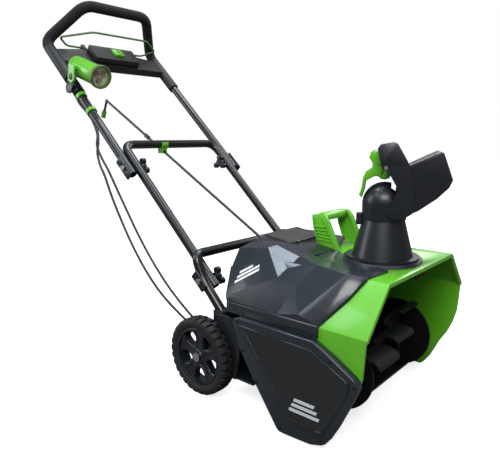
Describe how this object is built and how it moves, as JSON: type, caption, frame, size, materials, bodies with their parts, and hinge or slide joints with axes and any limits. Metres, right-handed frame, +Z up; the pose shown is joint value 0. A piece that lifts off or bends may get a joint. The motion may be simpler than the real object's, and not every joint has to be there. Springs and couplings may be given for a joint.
{
  "type": "cordless snow thrower",
  "caption": "Walk-behind battery snow thrower with a paddle auger, crank-turned chute with tilting deflector, folding tube handle, bail and headlight.",
  "frame": {"origin": "on the ground, below the middle of the machine's length and width", "axes": "+X forward, +Y to the operator's left, +Z up"},
  "size_m": [1.2622, 0.5675, 1.0653],
  "materials": {
    "lime_plastic": "moulded, glossy",
    "charcoal_plastic": "moulded, satin gloss",
    "gloss_panel": "high gloss",
    "black_plastic": "moulded, fine grain",
    "matte_control_plastic": "matte grain",
    "zinc_steel": "zinc plated",
    "scraper_steel": "painted, worn edge",
    "black_rubber": "matte rubber",
    "tyre_rubber": "matte rubber",
    "black_painted_tube": "powder coat, satin",
    "foam": "closed-cell foam",
    "green_bail": "dull paint",
    "bezel_plastic": "olive plastic",
    "clear_lens": "clear polycarbonate",
    "led_dark": "dark encapsulation",
    "dark_metal": "dark coated",
    "circuit_board": "coated board",
    "cable_rubber": "smooth jacket"
  },
  "bodies": {
    "chassis": {"auger_housing": "lime_plastic", "scraper_bar": "scraper_steel", "side_cover": "charcoal_plastic", "side_cover_panel": "gloss_panel", "left_bearing_cap": "black_plastic", "motor_shroud": "charcoal_plastic", "battery_bay": "black_plastic", "chassis": "black_plastic", "wheel_axle": "zinc_steel", "motor_case": "zinc_steel", "controller_board": "circuit_board", "auger_bearings": "zinc_steel", "carry_handle": "lime_plastic", "worm_bearings": "black_plastic", "rod_clip": "lime_plastic", "lower_frame": "black_painted_tube", "middle_frame": "black_painted_tube", "frame_saddles": "black_plastic", "frame_bolts": "zinc_steel", "cable_lower": "cable_rubber", "drive_belt": "black_rubber"},
    "battery_door": {"battery_door": "gloss_panel"},
    "battery_pack": {"battery_pack": "black_plastic"},
    "pack_release_button": {"pack_release_button": "lime_plastic"},
    "wheel_right": {"tyre_right": "tyre_rubber", "hub_right": "black_plastic"},
    "wheel_left": {"tyre_left": "tyre_rubber", "hub_left": "black_plastic"},
    "auger": {"auger_shaft": "zinc_steel", "auger_core": "dark_metal", "auger_paddles": "black_rubber", "driven_pulley": "dark_metal"},
    "motor_rotor": {"motor_rotor": "zinc_steel"},
    "chute": {"chute_base": "black_plastic", "chute_tube": "black_plastic", "deflector_pins": "zinc_steel"},
    "deflector": {"deflector": "black_plastic", "trigger_pin": "zinc_steel"},
    "deflector_trigger": {"deflector_trigger": "lime_plastic"},
    "chute_worm": {"chute_worm": "dark_metal"},
    "crank": {"crank_rod": "black_painted_tube"},
    "crank_grip": {"crank_grip": "lime_plastic"},
    "handle": {"upper_frame": "black_painted_tube", "foam_grip": "foam", "fold_saddles": "black_plastic", "control_crossbar": "matte_control_plastic", "switch_box": "matte_control_plastic", "headlight_bracket": "black_plastic", "cable_clips": "lime_plastic", "cable_upper": "cable_rubber"},
    "start_button": {"start_button": "lime_plastic"},
    "bail": {"bail": "green_bail"},
    "headlight": {"headlight_body": "lime_plastic", "headlight_bezel": "bezel_plastic", "headlight_lens": "clear_lens", "headlight_leds": "led_dark"},
    "knob_fold_right": {"knob_fold_right": "black_plastic"},
    "knob_fold_left": {"knob_fold_left": "black_plastic"},
    "knob_clamp_right": {"knob_clamp_right": "black_plastic"},
    "knob_clamp_left": {"knob_clamp_left": "black_plastic"}
  },
  "joints": [
    {"name": "auger_spin", "type": "hinge", "parent": "chassis", "child": "auger", "pos_m": [0.459, 0, 0.12], "axis": [0, 1, 0], "continuous": true},
    {"name": "motor_spin", "type": "hinge", "parent": "chassis", "child": "motor_rotor", "pos_m": [0.297, -0.2, 0.18], "axis": [0, 1, 0], "continuous": true},
    {"name": "wheel_right_spin", "type": "hinge", "parent": "chassis", "child": "wheel_right", "pos_m": [0.138, -0.26, 0.098], "axis": [0, 1, 0], "continuous": true},
    {"name": "wheel_left_spin", "type": "hinge", "parent": "chassis", "child": "wheel_left", "pos_m": [0.138, 0.26, 0.098], "axis": [0, 1, 0], "continuous": true},
    {"name": "chute_turn", "type": "hinge", "parent": "chassis", "child": "chute", "pos_m": [0.479, 0, 0.35], "axis": [0, 0, 1], "range_deg": [-115, 65]},
    {"name": "worm_turn", "type": "hinge", "parent": "chassis", "child": "chute_worm", "pos_m": [0.456, -0.104, 0.328], "axis": [0.9876, -0.15, -0.0458], "range_deg": [-1160, 1160]},
    {"name": "crank_turn", "type": "hinge", "parent": "chassis", "child": "crank", "pos_m": [-0.585, -0.018, 0.757], "axis": [0.8859, -0.0551, -0.4606], "range_deg": [-1160, 1160]},
    {"name": "crank_grip_spin", "type": "hinge", "parent": "crank", "child": "crank_grip", "pos_m": [-0.60982, -0.01646, 0.70907], "axis": [-0.4597, 0.0286, -0.8876], "continuous": true},
    {"name": "deflector_tilt", "type": "hinge", "parent": "chute", "child": "deflector", "pos_m": [0.50347, 0.01141, 0.474], "axis": [-0.4226, 0.9063, 0], "range_deg": [-6, 20]},
    {"name": "trigger_pull", "type": "hinge", "parent": "deflector", "child": "deflector_trigger", "pos_m": [0.47991, 0.00042, 0.565], "axis": [-0.4226, 0.9063, 0], "range_deg": [0, 8], "stiffness_Nm_per_rad": 1.2, "springref_deg": -5.73},
    {"name": "handle_fold", "type": "hinge", "parent": "chassis", "child": "handle", "pos_m": [-0.204, 0, 0.544], "axis": [0, 1, 0], "range_deg": [0, 115]},
    {"name": "bail_squeeze", "type": "hinge", "parent": "handle", "child": "bail", "pos_m": [-0.60309, 0, 0.92837], "axis": [0, -1, 0], "range_deg": [0, 22], "stiffness_Nm_per_rad": 0.8, "springref_deg": -11.46},
    {"name": "start_press", "type": "slide", "parent": "handle", "child": "start_button", "axis": [-0.6806, 0, -0.7327], "range_m": [0, 0.003], "stiffness_N_per_m": 600, "springref_m": -0.002},
    {"name": "headlight_tilt", "type": "hinge", "parent": "handle", "child": "headlight", "pos_m": [-0.428, -0.24, 0.808], "axis": [0, 1, 0], "range_deg": [-9, 20]},
    {"name": "battery_door_open", "type": "hinge", "parent": "chassis", "child": "battery_door", "pos_m": [0.26862, 0, 0.36888], "axis": [0, 1, 0], "range_deg": [0, 80]},
    {"name": "battery_slide", "type": "slide", "parent": "chassis", "child": "battery_pack", "axis": [0, 0, 1], "range_m": [0, 0.012]},
    {"name": "release_press", "type": "slide", "parent": "battery_pack", "child": "pack_release_button", "axis": [0, 0, -1], "range_m": [0, 0.002], "stiffness_N_per_m": 500, "springref_m": -0.002},
    {"name": "knob_fold_right_turn", "type": "hinge", "parent": "chassis", "child": "knob_fold_right", "pos_m": [-0.204, -0.162, 0.544], "axis": [0, 1, 0], "continuous": true},
    {"name": "knob_fold_left_turn", "type": "hinge", "parent": "chassis", "child": "knob_fold_left", "pos_m": [-0.204, 0.162, 0.544], "axis": [0, 1, 0], "continuous": true},
    {"name": "knob_clamp_right_turn", "type": "hinge", "parent": "chassis", "child": "knob_clamp_right", "pos_m": [0.095, -0.162, 0.27], "axis": [0, 1, 0], "continuous": true},
    {"name": "knob_clamp_left_turn", "type": "hinge", "parent": "chassis", "child": "knob_clamp_left", "pos_m": [0.095, 0.162, 0.27], "axis": [0, 1, 0], "continuous": true}
  ],
  "couplings": [
    {"joint": "motor_spin", "follows": "auger_spin", "ratio": 3.8462},
    {"joint": "worm_turn", "follows": "chute_turn", "ratio": -10},
    {"joint": "crank_turn", "follows": "chute_turn", "ratio": -10}
  ]
}
